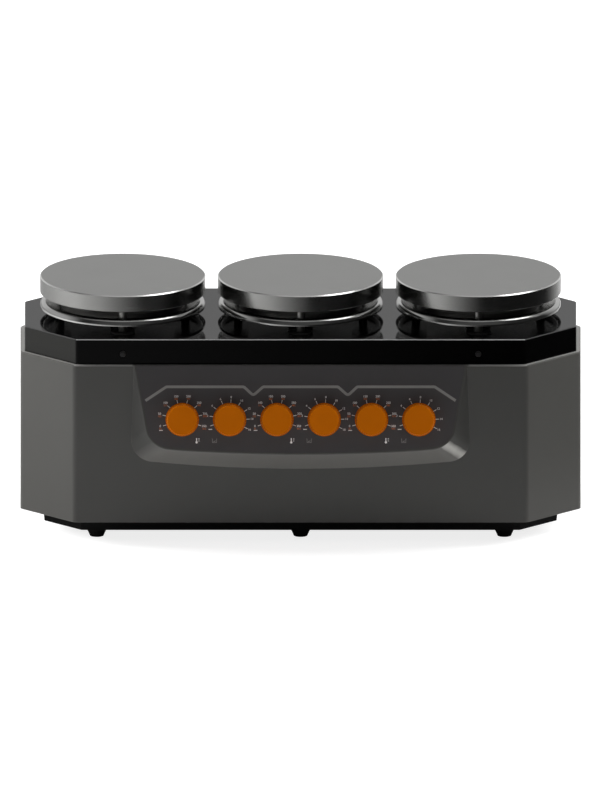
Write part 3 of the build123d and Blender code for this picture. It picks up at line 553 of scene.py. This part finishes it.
layered(glossy_black, cover_shader, cover_lights())
grommet_rubber, _ = skin(
    "grommet_rubber", (0.015, 0.015, 0.015), roughness=0.7, grain_scale=2500.0, mottle=0.2, smudge=0.1,
    bump_strength=0.4, bump_distance=0.00006)
dress(["top_cover"], glossy_black)
dress(["cable_grommets", "post_washers"], grommet_rubber)

# Posts, heat shields and heater pans: turned steel posts carry a spun and polished dish, and on
# it a dull steel pan that holds the cast heater against the plate.

def turned_metal_group():
    """Colour, roughness and height of metal with fine marks along one direction."""
    tree, given, made = new_group("turned_marks", [
        ("Colour", "NodeSocketColor", (0.5, 0.5, 0.5, 1.0)), ("Roughness", "NodeSocketFloat", 0.3),
        ("Stretch", "NodeSocketVector", (100.0, 100.0, 3000.0)), ("Contrast", "NodeSocketFloat", 0.1)],
        surface_outputs)
    place = tree.nodes.new("ShaderNodeTexCoord").outputs["Object"]
    stretch = tree.nodes.new("ShaderNodeVectorMath")
    stretch.operation = "MULTIPLY"
    tree.links.new(place, stretch.inputs[0])
    tree.links.new(given.outputs["Stretch"], stretch.inputs[1])
    cloud_scale, cloud_depth, shine_change = 30.0, 0.08, 0.6
    marks = noise(tree, 1.0, 4.0, stretch.outputs[0])
    cloud = noise(tree, cloud_scale, 3.0, place)
    shift = product(tree, centred(tree, marks), given.outputs["Contrast"])
    soft = product(tree, centred(tree, cloud), cloud_depth)
    factor = math_node(tree, "ADD", math_node(tree, "ADD", shift, soft), 1.0)
    tree.links.new(scaled_colour(tree, given.outputs["Colour"], factor), made.inputs["Colour"])
    rough = math_node(tree, "ADD", given.outputs["Roughness"], product(tree, shift, shine_change))
    tree.links.new(math_node(tree, "ADD", rough, soft), made.inputs["Roughness"])
    tree.links.new(marks, made.inputs["Height"])
    return tree

turned_marks = turned_metal_group()

def metal(name, colour, roughness, stretch, contrast, bump_strength, bump_distance):
    """Bare metal with fine marks from the lathe or the brush."""
    material, inside, links, principled = new_material(name)
    marks = use_group(inside, turned_marks, {
        "Colour": (*colour, 1.0), "Roughness": roughness, "Stretch": stretch, "Contrast": contrast})
    links.new(marks.outputs["Colour"], principled.inputs["Base Color"])
    links.new(marks.outputs["Roughness"], principled.inputs["Roughness"])
    normal = bumped(inside, links, marks.outputs["Height"], bump_strength, bump_distance)
    links.new(normal, principled.inputs["Normal"])
    principled.inputs["Metallic"].default_value = 1.0
    return material, principled

shield_steel, _ = metal(
    "shield_steel", (0.50, 0.50, 0.49), roughness=0.16, stretch=(60.0, 60.0, 5000.0), contrast=0.05,
    bump_strength=0.05, bump_distance=0.00001)
pan_steel, _ = metal(
    "pan_steel", (0.2, 0.2, 0.195), roughness=0.38, stretch=(60.0, 60.0, 4000.0), contrast=0.12,
    bump_strength=0.15, bump_distance=0.00002)
post_steel, _ = metal(
    "post_steel", (0.26, 0.26, 0.25), roughness=0.34, stretch=(60.0, 60.0, 5000.0), contrast=0.1,
    bump_strength=0.1, bump_distance=0.00002)
screw_steel, _ = metal(
    "screw_steel", (0.5, 0.5, 0.48), roughness=0.3, stretch=(800.0, 800.0, 800.0), contrast=0.1,
    bump_strength=0.1, bump_distance=0.00002)
heater_cast, _ = metal(
    "heater_cast", (0.4, 0.4, 0.39), roughness=0.55, stretch=(900.0, 900.0, 900.0), contrast=0.25,
    bump_strength=0.4, bump_distance=0.00008)
dish_shoulder, dish_lip, dish_sheet, dish_bore = 5.0 * MM, 0.7 * MM, 1.0 * MM, 10.0 * MM
dish_steps, dish_sides, dish_sharp_angle = 10, 120, math.radians(40)

def spun_dish(station):
    """A shield as the spinner leaves it: flat on top, with a rounded shoulder and a short lip."""
    low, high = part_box(f"heat_shield_{station}")
    middle_x, middle_y = (low.x + high.x) / 2, (low.y + high.y) / 2
    radius = (high.x - low.x) / 2
    outer, inner = [(dish_bore, high.z)], [(dish_bore, high.z - dish_sheet)]
    for step in range(dish_steps + 1):
        turn = math.pi / 2 * step / dish_steps
        for line, bend in ((outer, dish_shoulder), (inner, dish_shoulder - dish_sheet)):
            line.append((radius - dish_shoulder + bend * math.sin(turn),
                         high.z - dish_shoulder + bend * math.cos(turn)))
    foot = high.z - dish_shoulder - dish_lip
    profile = outer + [(radius, foot), (radius - dish_sheet, foot)] + inner[::-1]
    mesh = bmesh.new()
    rings = []
    for side in range(dish_sides):
        turn = 2 * math.pi * side / dish_sides
        rings.append([mesh.verts.new((middle_x + r * math.cos(turn), middle_y + r * math.sin(turn), z))
                      for r, z in profile])
    for side, ring in enumerate(rings):
        after = rings[(side + 1) % dish_sides]
        for place in range(len(profile)):
            onward = (place + 1) % len(profile)
            mesh.faces.new((ring[place], ring[onward], after[onward], after[place]))
    bmesh.ops.recalc_face_normals(mesh, faces=mesh.faces)
    dish = finished(mesh, f"spun_dish_{station}", shield_steel, "base", smooth=True)
    dish.data.set_sharp_from_angle(angle=dish_sharp_angle)
    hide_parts(f"heat_shield_{station}")

for station in stations:
    spun_dish(station)
    dress([f"heater_pan_{station}"], pan_steel)
    dress([f"heating_element_{station}"], heater_cast)
dress(["lower_standoffs", "upper_standoffs"], post_steel)
dress(["plate_screws", "foot_screws", "motor_screws", "board_screws"], screw_steel)
dress(["temperature_sensors"], screw_steel)

# Hot plates: aluminium discs, turned round the side and brushed from front to back on top, with
# a thin bright chamfer between the two.

def plate_finish():
    """Side marks run round the disc and top marks from front to back."""
    material, inside, links, principled = new_material("plate_metal")
    colour, edge_colour = (0.30, 0.30, 0.292, 1.0), (0.75, 0.75, 0.74)
    facing_top, facing_chamfer = (0.8, 0.95), (0.3, 0.6)
    mark_strength, mark_depth = 0.12, 0.00002
    side = use_group(inside, turned_marks, {
        "Colour": colour, "Roughness": 0.24, "Stretch": (30.0, 30.0, 9000.0), "Contrast": 0.16})
    top = use_group(inside, turned_marks, {
        "Colour": colour, "Roughness": 0.34, "Stretch": (2600.0, 12.0, 2600.0), "Contrast": 0.10})
    tree = material.node_tree
    upward = parts_of(tree, inside.new("ShaderNodeNewGeometry").outputs["Normal"])["Z"]
    is_top = remap(tree, upward, *facing_top, 0.0, 1.0)
    is_edge = product(tree, remap(tree, upward, *facing_chamfer, 0.0, 1.0),
                      math_node(tree, "SUBTRACT", 1.0, is_top))
    shade = inside.new("ShaderNodeMix")
    shade.data_type = "RGBA"
    links.new(is_top, shade.inputs["Factor"])
    links.new(side.outputs["Colour"], shade.inputs["A"])
    links.new(top.outputs["Colour"], shade.inputs["B"])
    links.new(mixed(inside, links, is_edge, shade.outputs["Result"], edge_colour),
              principled.inputs["Base Color"])
    for label in ("Roughness", "Height"):
        blend = inside.new("ShaderNodeMix")
        links.new(is_top, blend.inputs["Factor"])
        links.new(side.outputs[label], blend.inputs["A"])
        links.new(top.outputs[label], blend.inputs["B"])
        if label == "Roughness":
            links.new(blend.outputs["Result"], principled.inputs["Roughness"])
        else:
            normal = bumped(inside, links, blend.outputs["Result"], mark_strength, mark_depth)
            links.new(normal, principled.inputs["Normal"])
    principled.inputs["Metallic"].default_value = 1.0
    return material

plate_metal = plate_finish()
dress([f"hot_plate_{station}" for station in stations], plate_metal)

# Back fittings: a black moulded mains inlet with three bright pins and a black rocker switch in
# its bezel. Both are pushed or screwed into openings of the back wall, low down at one end.

inlet_black, _ = skin(
    "inlet_black", (0.013, 0.013, 0.013), roughness=0.45, grain_scale=2500.0, mottle=0.12, smudge=0.08,
    bump_strength=0.3, bump_distance=0.00005)
switch_black, _ = skin(
    "switch_black", (0.012, 0.012, 0.012), roughness=0.25, grain_scale=2500.0, mottle=0.1, smudge=0.08,
    bump_strength=0.15, bump_distance=0.00003)
pin_brass, _ = metal(
    "pin_brass", (0.6, 0.56, 0.45), roughness=0.28, stretch=(900.0, 900.0, 900.0), contrast=0.1,
    bump_strength=0.1, bump_distance=0.00002)
dress(["power_inlet"], inlet_black)
dress(["inlet_pins"], pin_brass)
dress(["switch_bezel", "switch_rocker"], switch_black)

# Inside: the stirring motors hang under the deck, each with a shaft, a cast arm and two magnets.
# A control board stands behind the panel and a power board lies on the tray, both green.

motor_steel, _ = metal(
    "motor_steel", (0.35, 0.35, 0.36), roughness=0.42, stretch=(60.0, 60.0, 2500.0), contrast=0.1,
    bump_strength=0.15, bump_distance=0.00003)
rotor_metal, _ = metal(
    "rotor_metal", (0.55, 0.55, 0.54), roughness=0.35, stretch=(2000.0, 40.0, 2000.0), contrast=0.12,
    bump_strength=0.1, bump_distance=0.00002)
magnet_metal, _ = metal(
    "magnet_metal", (0.62, 0.61, 0.58), roughness=0.2, stretch=(400.0, 400.0, 400.0), contrast=0.08,
    bump_strength=0.05, bump_distance=0.00001)
board_green, _ = skin(
    "board_green", (0.015, 0.10, 0.045), roughness=0.4, grain_scale=1200.0, mottle=0.15, smudge=0.1,
    bump_strength=0.3, bump_distance=0.00006)
for station in stations:
    dress([f"stir_motor_{station}"], motor_steel)
    dress([f"motor_shaft_{station}"], control_metal)
    dress([f"magnet_rotor_{station}"], rotor_metal)
    dress([f"rotor_magnets_{station}"], magnet_metal)
dress(["control_board", "power_board"], board_green)

# Studio: a pale floor, a white surround and soft lamps on both sides and above. Mirror rays meet a
# darker room, as behind black cloth in front and to the right, so that gloss has its dark side.

def way_to(azimuth, elevation):
    """A unit vector; azimuth 0 is in front of the object and 90 is to its right."""
    a, e = math.radians(azimuth), math.radians(elevation)
    return Vector((math.sin(a) * math.cos(e), -math.cos(a) * math.cos(e), math.sin(e)))

def edge_cosines(outer, inner):
    """The cosines between which a round patch goes from nothing to full."""
    return math.cos(math.radians(outer)), math.cos(math.radians(inner))

floor_reach = 6.0
floor_grey, floor_seen_grey, floor_glow = 0.85, 0.35, 0.82
mirror_grey, mirror_black = 0.56, 0.01
cloth_azimuth, cloth_outer, cloth_inner, cloth_near, cloth_far = 60.0, 100.0, 45.0, 0.30, 0.40
shade_azimuth, shade_outer, shade_inner, shade_left = -125.0, 55.0, 15.0, 0.4

def floor_finish():
    """A white floor that mirror rays meet as a grey one, with a black cloth at the front right."""
    material, inside, links, principled = new_material("floor_white")
    tree = material.node_tree
    place = inside.new("ShaderNodeNewGeometry").outputs["Position"]
    rays = inside.new("ShaderNodeLightPath")
    way = inside.new("ShaderNodeVectorMath")
    way.operation = "NORMALIZE"
    far = inside.new("ShaderNodeVectorMath")
    far.operation = "LENGTH"
    for node in (way, far):
        links.new(place, node.inputs[0])
    cloth = remap(tree, towards(tree, way.outputs[0], way_to(cloth_azimuth, 0)),
                  *edge_cosines(cloth_outer, cloth_inner), 0.0, 1.0)
    beyond = remap(tree, far.outputs["Value"], cloth_near, cloth_far, 0.0, 1.0)
    mirrored = remap(tree, product(tree, cloth, beyond), 0.0, 1.0, mirror_grey, mirror_black)
    left_end = remap(tree, towards(tree, way.outputs[0], way_to(shade_azimuth, 0)),
                     *edge_cosines(shade_outer, shade_inner), 1.0, shade_left)
    mirrored = product(tree, mirrored, left_end)
    lit = remap(tree, rays.outputs["Is Glossy Ray"], 0.0, 1.0, floor_grey, mirrored)
    seen = remap(tree, rays.outputs["Is Camera Ray"], 0.0, 1.0, lit, floor_seen_grey)
    glow = remap(tree, rays.outputs["Is Camera Ray"], 0.0, 1.0, 0.0, floor_glow)
    grey = inside.new("ShaderNodeCombineColor")
    for channel in ("Red", "Green", "Blue"):
        links.new(seen, grey.inputs[channel])
    links.new(grey.outputs[0], principled.inputs["Base Color"])
    links.new(glow, principled.inputs["Emission Strength"])
    principled.inputs["Emission Color"].default_value = (1, 1, 1, 1)
    principled.inputs["Roughness"].default_value = 1.0
    principled.inputs["Specular IOR Level"].default_value = 0.0
    return material

floor_mesh = bmesh.new()
bmesh.ops.create_grid(floor_mesh, x_segments=1, y_segments=1, size=floor_reach)
floor_data = bpy.data.meshes.new("floor")
floor_mesh.to_mesh(floor_data)
floor_mesh.free()
floor_data.materials.append(floor_finish())
floor = bpy.data.objects.new("floor", floor_data)
bpy.context.scene.collection.objects.link(floor)

lamp_aim_height = 0.1

def soft_lamp(name, azimuth, elevation, distance, size, power):
    """A square soft lamp that looks at the object and is not mirrored."""
    way, aim = way_to(azimuth, elevation), Vector((0, 0, lamp_aim_height))
    light = bpy.data.lights.new(name, "AREA")
    light.shape = "SQUARE"
    light.size = size
    light.energy = power
    lamp = bpy.data.objects.new(name, light)
    bpy.context.scene.collection.objects.link(lamp)
    lamp.location = aim + way * distance
    lamp.rotation_euler = (-way).to_track_quat("-Z", "Y").to_euler()
    lamp.visible_glossy = False

soft_lamp("left_lamp", azimuth=-107, elevation=20, distance=1.9, size=0.8, power=84.0)
soft_lamp("right_lamp", azimuth=108, elevation=28, distance=1.9, size=0.8, power=60.0)
soft_lamp("top_lamp", azimuth=0, elevation=89, distance=2.4, size=1.8, power=10.0)

# What mirror rays meet: azimuth, elevation, outer and inner edge of the soft patch, and its level.
mirrored_patches = ((180, 12, 75, 35, 0.70), (-115, 5, 55, 30, 0.55), (88, 58, 18, 10, 3.5),
                    (98, 36, 14, 8, 0.4), (0, 90, 40, 15, 0.5), (0, 18, 50, 30, 0.08))
mirrored_dark, diffuse_level = 0.03, 0.19
world = bpy.data.worlds.new("surround")
bpy.context.scene.world = world
world.use_nodes = True
sky = world.node_tree
sky_way = sky.nodes.new("ShaderNodeTexCoord").outputs["Generated"]
rays = sky.nodes.new("ShaderNodeLightPath").outputs
mirrored = mirrored_dark
for azimuth, elevation, outer, inner, level in mirrored_patches:
    patch = remap(sky, towards(sky, sky_way, way_to(azimuth, elevation)),
                  *edge_cosines(outer, inner), 0.0, level)
    mirrored = math_node(sky, "MAXIMUM", patch, mirrored)
strength = remap(sky, rays["Is Glossy Ray"], 0.0, 1.0, diffuse_level, mirrored)
clear = math_node(sky, "MAXIMUM", rays["Is Camera Ray"], rays["Is Transmission Ray"])
background = sky.nodes["Background"]
sky.links.new(remap(sky, clear, 0.0, 1.0, strength, 1.0), background.inputs["Strength"])
background.inputs["Color"].default_value = (1, 1, 1, 1)

plate_low, plate_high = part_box("hot_plate_centre")
metres_per_pixel = 0.0008157
picture_height = 800
camera_elevation = math.radians(15.0)
camera_distance = 2.0
aim_x, aim_z = -0.00045, 0.09809
target = Vector((aim_x, (plate_low.y + plate_high.y) / 2, aim_z))
camera_data = bpy.data.cameras.new("camera")
camera_data.type = "ORTHO"
camera_data.ortho_scale = metres_per_pixel * picture_height
camera = bpy.data.objects.new("camera", camera_data)
bpy.context.scene.collection.objects.link(camera)
look = Vector((0, math.cos(camera_elevation), -math.sin(camera_elevation)))
camera.location = target - look * camera_distance
camera.rotation_euler = look.to_track_quat("-Z", "Y").to_euler()
bpy.context.scene.camera = camera
bpy.context.scene.view_settings.view_transform = "Standard"
